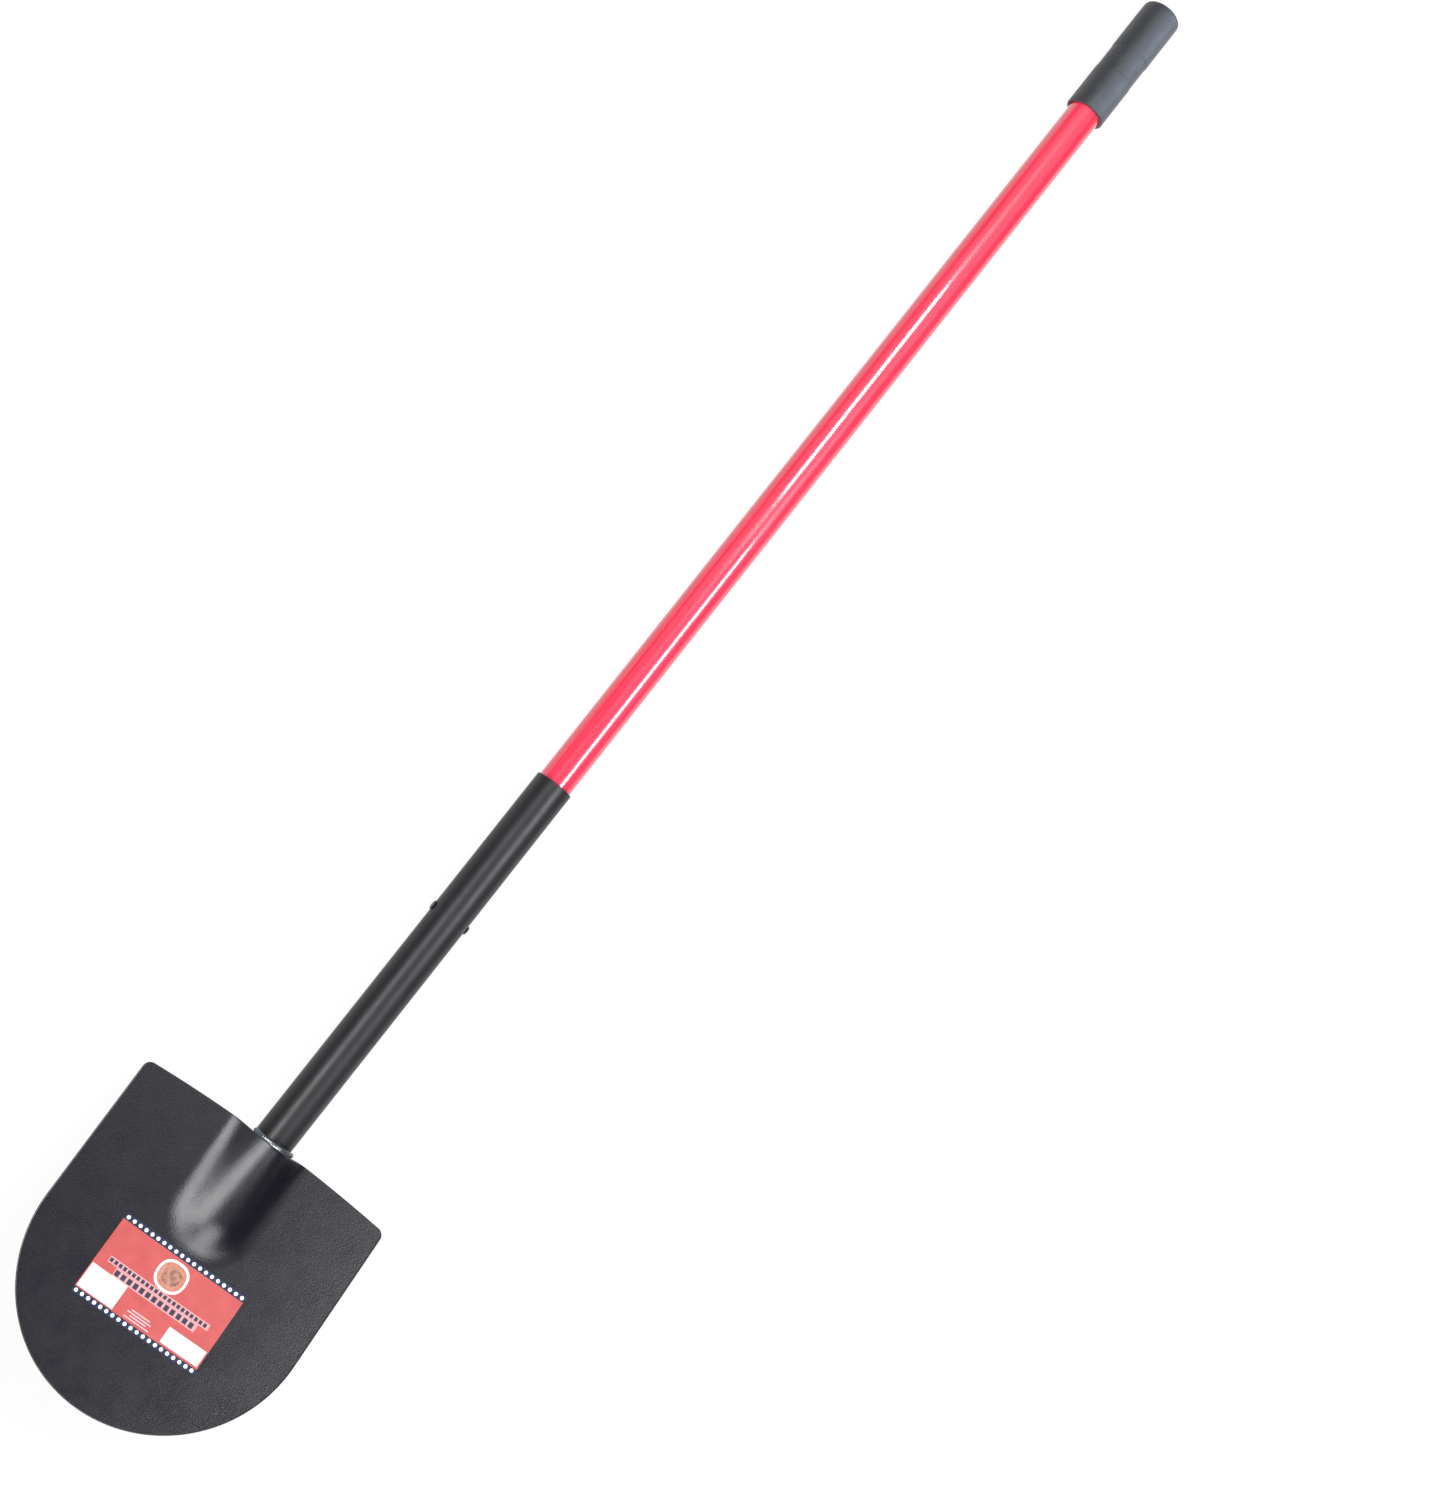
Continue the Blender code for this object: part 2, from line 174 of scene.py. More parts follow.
class Finish:
    """A Principled material. Numbers go straight on the shader's sockets."""

    def __init__(self, name, **values):
        self.mat = bpy.data.materials.new(name)
        self.mat.use_nodes = True
        self.shader = self.mat.node_tree.nodes["Principled BSDF"]
        for key, value in values.items():
            self.shader.inputs[key.replace("_", " ").title().replace("Ior", "IOR")].default_value = value

    def node(self, kind, inputs=None, **settings):
        made = self.mat.node_tree.nodes.new("ShaderNode" + kind)
        for key, value in settings.items():
            setattr(made, key, value)
        for key, value in (inputs or {}).items():
            if isinstance(value, bpy.types.NodeSocket):
                self.link(value, made.inputs[key])
            else:
                made.inputs[key].default_value = value
        return made

    def link(self, source, target):
        self.mat.node_tree.links.new(source, target)

    def feed(self, key, source):
        self.link(source, self.shader.inputs[key])

    def place(self, stretch=(1.0, 1.0, 1.0)):
        """Object coordinates, in metres, scaled along each axis."""
        where = self.node("TexCoord").outputs["Object"]
        return self.node("Mapping", {"Vector": where, "Scale": stretch}).outputs["Vector"]

    def noise(self, where, scale, detail=3.0, roughness=0.5):
        inputs = {"Vector": where, "Scale": scale, "Detail": detail, "Roughness": roughness}
        return self.node("TexNoise", inputs).outputs["Fac"]

    def spread(self, value, low, high, start=0.3, end=0.7):
        """Maps the start-to-end range of a value onto low to high."""
        inputs = {"Value": value, "From Min": start, "From Max": end, "To Min": low, "To Max": high}
        return self.node("MapRange", inputs).outputs["Result"]

    def shades(self, value, low, high, start=0.3, end=0.7):
        ramp = self.node("ValToRGB", {"Fac": value})
        ramp.color_ramp.elements[0].position = start
        ramp.color_ramp.elements[0].color = (*low, 1.0)
        ramp.color_ramp.elements[1].position = end
        ramp.color_ramp.elements[1].color = (*high, 1.0)
        return ramp.outputs["Color"]

    def math(self, operation, first, second=0.0, third=0.0):
        return self.node("Math", {0: first, 1: second, 2: third}, operation=operation).outputs[0]

    def mix(self, share, first, second):
        made = self.node("Mix", {0: share}, data_type="RGBA")
        for socket, value in ((made.inputs[6], first), (made.inputs[7], second)):
            if isinstance(value, bpy.types.NodeSocket):
                self.link(value, socket)
            else:
                socket.default_value = (*value, 1.0)
        return made.outputs[2]

    def bump(self, height, distance, strength=1.0, under=None):
        inputs = {"Height": height, "Distance": distance, "Strength": strength}
        if under is not None:
            inputs["Normal"] = under
        return self.node("Bump", inputs).outputs["Normal"]


def black_paint(name, low, high, smooth, rough, peel, specular=0.5):
    """Satin black enamel with a fine orange peel, slow waves and faint dusty patches."""
    finish = Finish(name, specular_ior_level=specular)
    where = finish.place()
    patches = finish.noise(where, 14.0, 4.0)
    finish.feed("Base Color", finish.shades(patches, low, high))
    finish.feed("Roughness", finish.spread(finish.noise(where, 45.0, 4.0, 0.6), smooth, rough))
    waves = finish.bump(finish.noise(where, 60.0, 2.0), 0.0006, 0.35)
    finish.feed("Normal", finish.bump(finish.noise(where, 900.0, 2.0), peel, 0.5, waves))
    return finish.mat


def red_fibreglass(name):
    """Clear-coated pultruded fibreglass: red, with faint lengthwise fibres that ripple the gloss."""
    finish = Finish(name, coat_weight=1.0, coat_roughness=0.07, roughness=0.3)
    fibres = finish.noise(finish.place((4.0, 260.0, 260.0)), 3.0, 4.0, 0.6)
    finish.feed("Base Color", finish.shades(fibres, (0.58, 0.013, 0.042), (0.72, 0.034, 0.080)))
    ripple = finish.bump(finish.noise(finish.place((2.5, 110.0, 110.0)), 2.5, 3.0), 0.0004, 0.015)
    finish.feed("Normal", ripple)
    finish.feed("Coat Normal", ripple)
    return finish.mat


def bare_fibreglass(name):
    finish = Finish(name, roughness=0.5)
    fibres = finish.noise(finish.place((6.0, 500.0, 500.0)), 3.0, 5.0)
    finish.feed("Base Color", finish.shades(fibres, (0.50, 0.44, 0.31), (0.66, 0.60, 0.46)))
    finish.feed("Normal", finish.bump(fibres, 0.0003, 0.4))
    return finish.mat


def plain_wood(name):
    finish = Finish(name, roughness=0.7)
    grain = finish.noise(finish.place((5.0, 220.0, 220.0)), 4.0, 6.0, 0.65)
    finish.feed("Base Color", finish.shades(grain, (0.36, 0.22, 0.11), (0.58, 0.41, 0.24)))
    finish.feed("Roughness", finish.spread(grain, 0.6, 0.8))
    finish.feed("Normal", finish.bump(grain, 0.0004, 0.5))
    return finish.mat


def grip_rubber(name):
    """Matt moulded rubber with a fine grain, a soft bloom, and a pebbled band."""
    finish = Finish(name, sheen_weight=0.1, sheen_roughness=0.5)
    where = finish.place()
    bloom = finish.noise(where, 60.0, 4.0)
    finish.feed("Base Color", finish.shades(bloom, (0.011, 0.012, 0.014), (0.018, 0.020, 0.023)))
    finish.feed("Roughness", finish.spread(finish.noise(where, 120.0, 3.0), 0.46, 0.54))
    along = finish.node("SeparateXYZ", {"Vector": where}).outputs["X"]
    middle = AXIS.x + GRIP_START + (BAND_START + BAND_END) / 2
    in_band = finish.math("COMPARE", along, middle, (BAND_END - BAND_START) / 2)
    pebbles = finish.math("MULTIPLY", in_band, finish.noise(where, 420.0, 2.0))
    pebbled = finish.bump(pebbles, 0.0010, 0.6)
    finish.feed("Normal", finish.bump(finish.noise(where, 1600.0, 3.0), 0.0003, 0.6, pebbled))
    return finish.mat


# ---- Meshes ----

def finished(name, mesh, mat, slot, *nodes):
    """Makes a mesh the shown piece that stands for some CAD nodes."""
    mesh.materials.append(mat)
    mesh.shade_smooth()
    obj = bpy.data.objects.new(name, mesh)
    bpy.context.scene.collection.objects.link(obj)
    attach(obj, "root")
    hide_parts(*nodes)
    return obj


def mesh_of(name, points, faces):
    """A mesh whose faces all look outwards."""
    mesh = bpy.data.meshes.new(name)
    mesh.from_pydata([tuple(p) for p in points], [], faces)
    bm = bmesh.new()
    bm.from_mesh(mesh)
    bmesh.ops.recalc_face_normals(bm, faces=bm.faces)
    bm.to_mesh(mesh)
    bm.free()
    return mesh


def grid_quads(columns, rows):
    """The quads of a grid whose points run row by row within each column."""
    count = rows + 1
    corners = [i * count + j for i in range(columns) for j in range(rows)]
    return [(a, a + 1, a + count + 1, a + count) for a in corners]


def grid_rim(columns, rows):
    """The outer points of such a grid, in order round its edge."""
    count = rows + 1
    rim = list(range(count)) + [i * count + rows for i in range(1, columns + 1)]
    rim += [columns * count + j for j in range(rows - 1, -1, -1)]
    rim += [i * count for i in range(columns - 1, 0, -1)]
    return rim


def band(upper, lower):
    """The quads between two closed rings of points."""
    return [(upper[n - 1], lower[n - 1], lower[n], upper[n]) for n in range(len(upper))]


def arc(center, radius, first, last, steps):
    """Points on an arc in a turned profile's (radius, x) plane, its angles in degrees from +X."""
    angles = [radians(first + (last - first) * i / steps) for i in range(steps + 1)]
    return [(center[0] + radius * sin(a), center[1] + radius * cos(a)) for a in angles]


def spaced(first, last, step):
    """Numbers evenly between two others, ends left out, about a step apart."""
    count = max(1, round(abs(last - first) / step))
    return [first + (last - first) * i / count for i in range(1, count)]


def turned_mesh(name, profile, axis="X", closed=False):
    """A profile of (radius, distance) turned about a line through the origin along X or Y."""
    line = Vector((1.0, 0.0, 0.0)) if axis == "X" else Vector((0.0, 1.0, 0.0))
    out = Vector((0.0, 0.0, 1.0))
    bm = bmesh.new()
    verts = [bm.verts.new(line * along + out * radius) for radius, along in profile]
    pairs = list(zip(verts, verts[1:] + verts[:1] if closed else verts[1:]))
    edges = [bm.edges.new(pair) for pair in pairs]
    bmesh.ops.spin(bm, geom=verts + edges, cent=(0, 0, 0), axis=line, angle=2 * pi,
                   steps=ROUND_STEPS, use_merge=True)
    bmesh.ops.remove_doubles(bm, verts=bm.verts, dist=MERGE_DISTANCE)
    bmesh.ops.recalc_face_normals(bm, faces=bm.faces)
    mesh = bpy.data.meshes.new(name)
    bm.to_mesh(mesh)
    bm.free()
    return mesh


def pipe_profile(inner, outer, start, end, edge, step):
    """The closed profile of a pipe with rounded edges, with rings a step apart along its walls."""
    outside = [(outer, x) for x in spaced(end - edge, start + edge, step)]
    inside = [(inner, x) for x in spaced(start + edge, end - edge, step)]
    profile = arc((outer - edge, end - edge), edge, 0, 90, 4) + outside
    profile += arc((outer - edge, start + edge), edge, 90, 180, 4)
    profile += arc((inner + edge, start + edge), edge, 180, 270, 4) + inside
    profile += arc((inner + edge, end - edge), edge, 270, 360, 4)
    return profile


def drill_rivet_hole(obj):
    """Cuts the rivet's hole through both walls and keeps the result as the piece's mesh."""
    bm = bmesh.new()
    bmesh.ops.create_cone(bm, cap_ends=True, segments=HOLE_STEPS, radius1=RIVET_RADIUS + GAP,
                          radius2=RIVET_RADIUS + GAP, depth=4 * TUBE_RADIUS)
    bm.transform(Matrix.Translation(AXIS + Vector((RIVET_X, 0, 0))) @ Matrix.Rotation(pi / 2, 4, "X"))
    mesh = bpy.data.meshes.new("drill")
    bm.to_mesh(mesh)
    bm.free()
    drill = bpy.data.objects.new("drill", mesh)
    bpy.context.scene.collection.objects.link(drill)
    cut = obj.modifiers.new("Rivet hole", "BOOLEAN")
    cut.operation = "DIFFERENCE"
    cut.solver = "EXACT"
    cut.object = drill
    evaluated = obj.evaluated_get(bpy.context.evaluated_depsgraph_get())
    obj.data = bpy.data.meshes.new_from_object(evaluated)
    obj.modifiers.clear()
    bpy.data.objects.remove(drill, do_unlink=True)
    obj.data.set_sharp_from_angle(angle=SHARP_ANGLE)


# ---- Blade surface, as in the CAD model: U across, V from the top edge to the tip ----

def hump_profile(q):
    """Share of the crest's height at a share q of the half width: crest, straight flank, hollow foot."""
    steepest = 2.0 / (1.0 + FLANK_SHARE - CREST_SHARE)
    if q >= 1.0:
        return 0.0
    if q <= CREST_SHARE:
        return 1.0 - steepest * q * q / (2.0 * CREST_SHARE)
    if q <= FLANK_SHARE:
        return 1.0 - steepest * (q - CREST_SHARE / 2.0)
    return steepest * (1.0 - q) ** 2 / (2.0 * (1.0 - FLANK_SHARE))


def face_height(u, v):
    """Height of the blade's face above its flat, from the dish and the hump."""
    crest = HUMP_HEIGHT - HUMP_FALL * v + HUMP_LEVELLING * v * v
    out = abs(u) if v < HUMP_SPINE else hypot(u, v - HUMP_SPINE)
    return BLADE_DISH * (u / BLADE_HALF_WIDTH) ** 2 + crest * hump_profile(out / HUMP_HALF_WIDTH)


def face_slope(u, v):
    """Rise of the face per metre across and along it."""
    across = (face_height(u + SLOPE_STEP, v) - face_height(u - SLOPE_STEP, v)) / (2 * SLOPE_STEP)
    along = (face_height(u, v + SLOPE_STEP) - face_height(u, v - SLOPE_STEP)) / (2 * SLOPE_STEP)
    return across, along


def top_edge(u):
    """V of the top edge, trimmed square to the handle line and arched down towards its corners."""
    share = abs(u) / BLADE_HALF_WIDTH
    v = 0.0
    for _ in range(TOP_EDGE_ROUNDS):
        v = (face_height(u, v) * sin(BLADE_LIFT) + SHOULDER_DROP * share * share) / cos(BLADE_LIFT)
    return v


def face_point(u, v, lift=0.0):
    """A point on the face, or lifted off it, and the face's normal there, in the blade's directions."""
    across, along = face_slope(u, v)
    normal = Vector((along, across, 1.0)).normalized()
    return Vector((-v, -u, face_height(u, v))) + normal * lift, normal


def blade_outline(inset):
    """The outline, a little inside the real edge, from the middle of the top edge round the right side."""
    width = BLADE_HALF_WIDTH - inset
    corner = CORNER_RADIUS - inset
    right = [(u, top_edge(u) + inset) for u in np.linspace(0.0, width - corner, TOP_POINTS)]
    base = top_edge(width - corner) + inset + corner
    turns = np.linspace(0.02, pi / 2, CORNER_POINTS)
    right += [(width - corner + corner * sin(a), base - corner * cos(a)) for a in turns]
    nose = NOSE_HEIGHT - inset
    start = BLADE_LENGTH - NOSE_HEIGHT
    right += [(width, v) for v in np.linspace(base, start, SIDE_POINTS)[1:]]
    turns = np.linspace(0.01, pi / 2, NOSE_POINTS)
    right += [(width * cos(a), start + nose * sin(a)) for a in turns]
    left = [(-u, v) for u, v in reversed(right[1:-1])]
    return np.array(right + left)


def round_loop(outline):
    """The length along a closed outline at each of its points, and a reader of points by length."""
    closed = np.vstack([outline, outline[:1]])
    length = np.concatenate([[0.0], np.cumsum(np.hypot(*np.diff(closed, axis=0).T))])

    def at(distance):
        distance = np.mod(distance, length[-1])
        return np.array([np.interp(distance, length, closed[:, k]) for k in (0, 1)])

    return length, at


def blade_grid(columns, rows):
    """A grid of (u, v) that fills the outline, its corners on the shoulders and low on the nose."""
    outline = blade_outline(SHEET_EDGE)
    length, at = round_loop(outline)
    total = length[-1]
    shoulder = length[np.argmax(outline[:, 0] - outline[:, 1])]
    cheek = length[np.argmax(outline[:, 0] + outline[:, 1])]
    s = np.linspace(0.0, 1.0, columns + 1)
    t = np.linspace(0.0, 1.0, rows + 1)
    top = at(shoulder * (2 * s - 1)).T
    low = at(cheek + (total - 2 * cheek) * (1 - s)).T
    right = at(shoulder + (cheek - shoulder) * t).T
    left = right * np.array([-1.0, 1.0])
    grid = np.zeros((columns + 1, rows + 1, 2))
    for i, a in enumerate(s):
        for j, b in enumerate(t):
            sides = (1 - a) * left[j] + a * right[j] + (1 - b) * top[i] + b * low[i]
            corners = (1 - a) * (1 - b) * top[0] + a * (1 - b) * top[-1]
            corners = corners + (1 - a) * b * low[0] + a * b * low[-1]
            grid[i, j] = sides - corners
    return grid


def edge_steps():
    """The sheet's rounded edge, as steps out of its rim and down from its face."""
    turns = [radians(a) for a in (30, 60, 90)]
    upper = [(SHEET_EDGE * sin(a), SHEET_EDGE * (1 - cos(a))) for a in turns]
    return upper + [(out, BLADE_SHEET - down) for out, down in reversed(upper)]


def rim_sides(points, normals, rim):
    """The direction out of the sheet at each point of its rim."""
    middle = sum((points[k] for k in rim), Vector()) / len(rim)
    sides = []
    for n, k in enumerate(rim):
        before, after = rim[n - 1], rim[(n + 1) % len(rim)]
        side = (points[after] - points[before]).normalized().cross(normals[k])
        outward = points[k] - middle
        outward.z = 0.0
        sides.append(-side if side.dot(outward) < 0 else side)
    return sides


def make_blade():
    """The pressed sheet: a face, a back two millimetres under it, and a rounded edge between them."""
    grid = blade_grid(BLADE_COLUMNS, BLADE_ROWS)
    face = [face_point(*place) for column in grid for place in column]
    points = [place for place, _ in face]
    normals = [normal for _, normal in face]
    under = len(face)
    points += [place - normal * BLADE_SHEET for place, normal in face]
    faces = []
    for quad in grid_quads(BLADE_COLUMNS, BLADE_ROWS):
        faces.append(quad)
        faces.append(tuple(under + k for k in reversed(quad)))
    rim = grid_rim(BLADE_COLUMNS, BLADE_ROWS)
    sides = rim_sides(points, normals, rim)
    rings = [rim]
    for out, down in edge_steps():
        rings.append(list(range(len(points), len(points) + len(rim))))
        points += [points[k] + side * out - normals[k] * down for k, side in zip(rim, sides)]
    rings.append([under + k for k in rim])
    for upper, lower in zip(rings, rings[1:]):
        faces += band(upper, lower)
    mesh = mesh_of("fine_blade", [TO_BLADE @ p for p in points], faces)
    paint = black_paint("satin_black_enamel", (0.0024, 0.0016, 0.0044), (0.0036, 0.0028, 0.0058),
                        smooth=0.31, rough=0.37, peel=0.00040)
    return finished("fine_blade", mesh, paint, "blade_paint", "blade")


# ---- Tube, handle, grip and rivet ----

def make_socket_tube():
    """The tube, its lower end cut at a slant from its toe on top to its heel underneath."""
    profile = pipe_profile(TUBE_RADIUS - TUBE_WALL, TUBE_RADIUS, -TUBE_TOE, TUBE_TOP, TUBE_EDGE,
                           TUBE_RING_STEP)
    mesh = turned_mesh("fine_socket_tube", profile, closed=True)
    for vert in mesh.vertices:
        if vert.co.x < 0.0:
            reach = (TUBE_TOE + TUBE_HEEL) / 2 + (TUBE_TOE - TUBE_HEEL) / 2 * vert.co.z / TUBE_RADIUS
            vert.co.x *= reach / TUBE_TOE
        vert.co += AXIS
    paint = black_paint("tube_black_enamel", (0.0088, 0.0082, 0.0104), (0.0118, 0.0110, 0.0138),
                        smooth=0.37, rough=0.43, peel=0.00006, specular=0.42)
    obj = finished("fine_socket_tube", mesh, paint, "tube_paint", "socket_tube")
    drill_rivet_hole(obj)
    return obj


def make_handle():
    """The handle's red outer tube, from inside the socket tube to inside the grip."""
    profile = pipe_profile(HANDLE_RADIUS - HANDLE_WALL, HANDLE_RADIUS, HANDLE_START, HANDLE_END,
                           HANDLE_EDGE, HANDLE_RING_STEP)
    mesh = turned_mesh("fine_handle", profile, closed=True)
    mesh.transform(Matrix.Translation(AXIS))
    obj = finished("fine_handle", mesh, red_fibreglass("clear_coated_red_fibreglass"),
                   "red_fibreglass", "handle_outer_tube")
    drill_rivet_hole(obj)
    return obj


def grip_profile():
    """The grip's half section: closed end, outside with its sunk band, open rim, and bore."""
    inner = HANDLE_RADIUS + GAP
    closed_end = GRIP_END - GRIP_END_WALL
    outer = GRIP_RADIUS
    sunk = outer - BAND_DEPTH
    crease = BAND_DEPTH
    band_start = GRIP_START + BAND_START
    band_end = GRIP_START + BAND_END
    profile = [(0.0, GRIP_END)]
    profile += arc((outer - GRIP_EDGE, GRIP_END - GRIP_EDGE), GRIP_EDGE, 0, 90, 12)
    profile += [(outer, x) for x in spaced(GRIP_END - GRIP_EDGE, band_end + 2 * crease, GRIP_RING_STEP)]
    profile += [(outer, band_end + 2 * crease), (outer, band_end + crease), (sunk, band_end)]
    profile += [(sunk, band_end - crease)]
    profile += [(sunk, x) for x in spaced(band_end - crease, band_start + crease, BAND_RING_STEP)]
    profile += [(sunk, band_start + crease), (sunk, band_start)]
    profile += [(outer, band_start - crease), (outer, band_start - 2 * crease)]
    rim = GRIP_START + GRIP_LIP
    profile += [(outer, x) for x in spaced(band_start - 2 * crease, rim, GRIP_RING_STEP)]
    profile += arc((outer - GRIP_LIP, rim), GRIP_LIP, 90, 180, 6)
    profile += arc((inner + GRIP_LIP / 2, GRIP_START + GRIP_LIP / 2), GRIP_LIP / 2, 180, 270, 4)
    profile += [(inner, x) for x in spaced(rim, closed_end, BORE_RING_STEP)]
    return profile + [(inner, closed_end), (0.0, closed_end)]


def make_grip():
    """The closed rubber sleeve on the handle's end."""
    mesh = turned_mesh("fine_grip", grip_profile())
    mesh.transform(Matrix.Translation(AXIS))
    return finished("fine_grip", mesh, grip_rubber("black_rubber"), "grip_rubber", "end_grip")


def rivet_head(radius, height, seat, sign):
    """Half a low domed head's profile, from the shank out and over to the top of the dome."""
    rim = seat + height * RIVET_RIM_SHARE
    dome = height * (1 - RIVET_RIM_SHARE)
    points = [(RIVET_RADIUS, seat), (radius - RIVET_HEAD_EDGE, seat), (radius, seat + RIVET_HEAD_EDGE)]
    points += [(radius * cos(radians(a)), rim + dome * sin(radians(a))) for a in range(0, 86, 8)]
    points.append((0.0, seat + height))
    return [(r, sign * along) for r, along in points]


def make_rivet():
    """The cross rivet, its wide factory head on the left and its higher shop head on the right."""
    low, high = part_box("cross_rivet")
    seat = TUBE_RADIUS + GAP
    left = rivet_head((high.z - low.z) / 2, high.y - seat, seat, 1.0)
    right = rivet_head(RIVET_SHOP_HEAD, -low.y - seat, seat, -1.0)
    mesh = turned_mesh("fine_rivet", list(reversed(left)) + right, axis="Y")
    mesh.transform(Matrix.Translation(AXIS + Vector((RIVET_X, 0.0, 0.0))))
    paint = black_paint("rivet_black_enamel", (0.0130, 0.0120, 0.0155), (0.0180, 0.0165, 0.0210),
                        smooth=0.26, rough=0.34, peel=0.00006)
    return finished("fine_rivet", mesh, paint, "rivet_paint", "cross_rivet")


# ---- Welds ----

def bead_mesh(name, path, radius, ripple, steps):
    """A weld bead along path(t), t from 0 to 1: overlapping scallops with rounded ends."""
    places = [path(i / steps) for i in range(steps + 1)]
    length = sum((b - a).length for a, b in zip(places, places[1:]))
    points = []
    walked = 0.0
    for i, place in enumerate(places):
        before, after = places[max(i - 1, 0)], places[min(i + 1, steps)]
        along = (after - before).normalized()
        out = (place - Vector((place.x, AXIS.y, AXIS.z))).normalized()
        side = along.cross(out).normalized()
        out = side.cross(along)
        if i:
            walked += (place - places[i - 1]).length
        from_end = min(walked, length - walked) / radius
        taper = sqrt(max(1.0 - (1.0 - min(from_end, 1.0)) ** 2, BEAD_END_SHARE ** 2))
        scallop = 1.0 + ripple * (abs(sin(pi * walked / SCALLOP_PITCH)) - SCALLOP_MIDDLE)
        size = radius * taper * scallop
        for k in range(WELD_SIDES):
            a = 2 * pi * k / WELD_SIDES
            points.append(place + out * (size * cos(a)) + side * (size * sin(a)))
    rings = [list(range(i * WELD_SIDES, (i + 1) * WELD_SIDES)) for i in range(steps + 1)]
    faces = [quad for one, other in zip(rings, rings[1:]) for quad in band(one, other)]
    return mesh_of(name, points, [*faces, tuple(rings[0]), tuple(rings[-1])])


def front_weld_path(t):
    """Round the top of the tube, where it meets the blade's top edge."""
    angle = FRONT_WELD_SPREAD * (2 * t - 1)
    out = TUBE_RADIUS + FRONT_WELD_OUT
    return AXIS + Vector((FRONT_WELD_X, out * sin(angle), out * cos(angle)))


def under_blade(x, y, z):
    """Distance of a point, given from the handle line, below the back of the blade's sheet."""
    from_face = z + BLADE_FACE_DROP
    v = -x * cos(BLADE_LIFT) + from_face * sin(BLADE_LIFT)
    n = x * sin(BLADE_LIFT) + from_face * cos(BLADE_LIFT)
    across, along = face_slope(y, v)
    slant = sqrt(1.0 + across * across + along * along)
    return (face_height(y, v) - n) / slant - BLADE_SHEET


def groove_angle(x, out, clear):
    """How far round the tube a bead's middle lies where it just clears the blade's back."""
    low, high = GROOVE_SEARCH
    for _ in range(GROOVE_ROUNDS):
        middle = (low + high) / 2
        if under_blade(x, out * sin(middle), out * cos(middle)) < clear:
            low = middle
        else:
            high = middle
    return high


def rear_weld_path(side):
    """The groove between the tube and the blade's back, on the left where side is 1."""
    out = TUBE_RADIUS + REAR_WELD_RADIUS - WELD_SINK

    def path(t):
        x = -(REAR_WELD_START + REAR_WELD_LENGTH * t)
        angle = groove_angle(x, out, REAR_WELD_RADIUS - WELD_SINK)
        return AXIS + Vector((x, side * out * sin(angle), out * cos(angle)))

    return path


def make_welds():
    """All three beads, the front one first."""
    # Black enamel whose base colour is lighter and bluer than the blade's. This is partly a painted
    # highlight, for the bright line where the front bead catches the light.
    paint = black_paint("weld_enamel_with_painted_highlight", (0.012, 0.015, 0.020), (0.018, 0.022, 0.028),
                        smooth=0.10, rough=0.16, peel=0.00004, specular=0.8)
    mesh = bead_mesh("fine_front_weld", front_weld_path, FRONT_WELD_RADIUS, ripple=0.04, steps=220)
    welds = [finished("fine_front_weld", mesh, paint, "weld_paint", "front_weld")]
    for name, side in (("rear_weld_left", 1.0), ("rear_weld_right", -1.0)):
        path = rear_weld_path(side)
        mesh = bead_mesh("fine_" + name, path, REAR_WELD_RADIUS, ripple=0.14, steps=160)
        welds.append(finished("fine_" + name, mesh, paint, "weld_paint", name))
    return welds


# ---- Label ----

# The print's layout, in shares of the label's width and height: left, right, low, high
NAVY_BANDS = [(0, 1, 0, 0.067), (0, 1, 0.924, 1)]
BLANK_BOXES = [(0.008, 0.297, 0.081, 0.367), (0.686, 0.988, 0.091, 0.279)]
PALE_LINES = [(0.410, 0.560, 0.190, 0.204), (0.390, 0.580, 0.158, 0.172),
              (0.420, 0.550, 0.128, 0.142), (0.385, 0.586, 0.096, 0.110)]
NOTE_LINES = [(0.80, 0.97, low, low + 0.010) for low in (0.235, 0.200, 0.165, 0.130)]
BLOCK_ROWS = [(0.09, 0.90, 0.476, 0.520, 22), (0.17, 0.83, 0.382, 0.446, 13)]  # and how many blocks
BLOCK_RIM = 0.007
BLOCK_SHARE = 0.66  # share of a block's pitch that is printed
DOT_ROWS = (0.034, 0.961)
DOTS_IN_ROW = 20
DOT_RADIUS = 0.0016
BADGE_X = 0.50
BADGE_Y = 0.715
BADGE_SQUARENESS = 2.4  # 2 is an ellipse

NAVY = (0.007, 0.013, 0.036)
PAPER_WHITE = (0.42, 0.42, 0.44)
PANEL_PINK = (0.34, 0.17, 0.18)
BLOCK_INK = (0.022, 0.020, 0.034)
LINE_INK = (0.37, 0.24, 0.25)
NOTE_INK = (0.29, 0.30, 0.33)


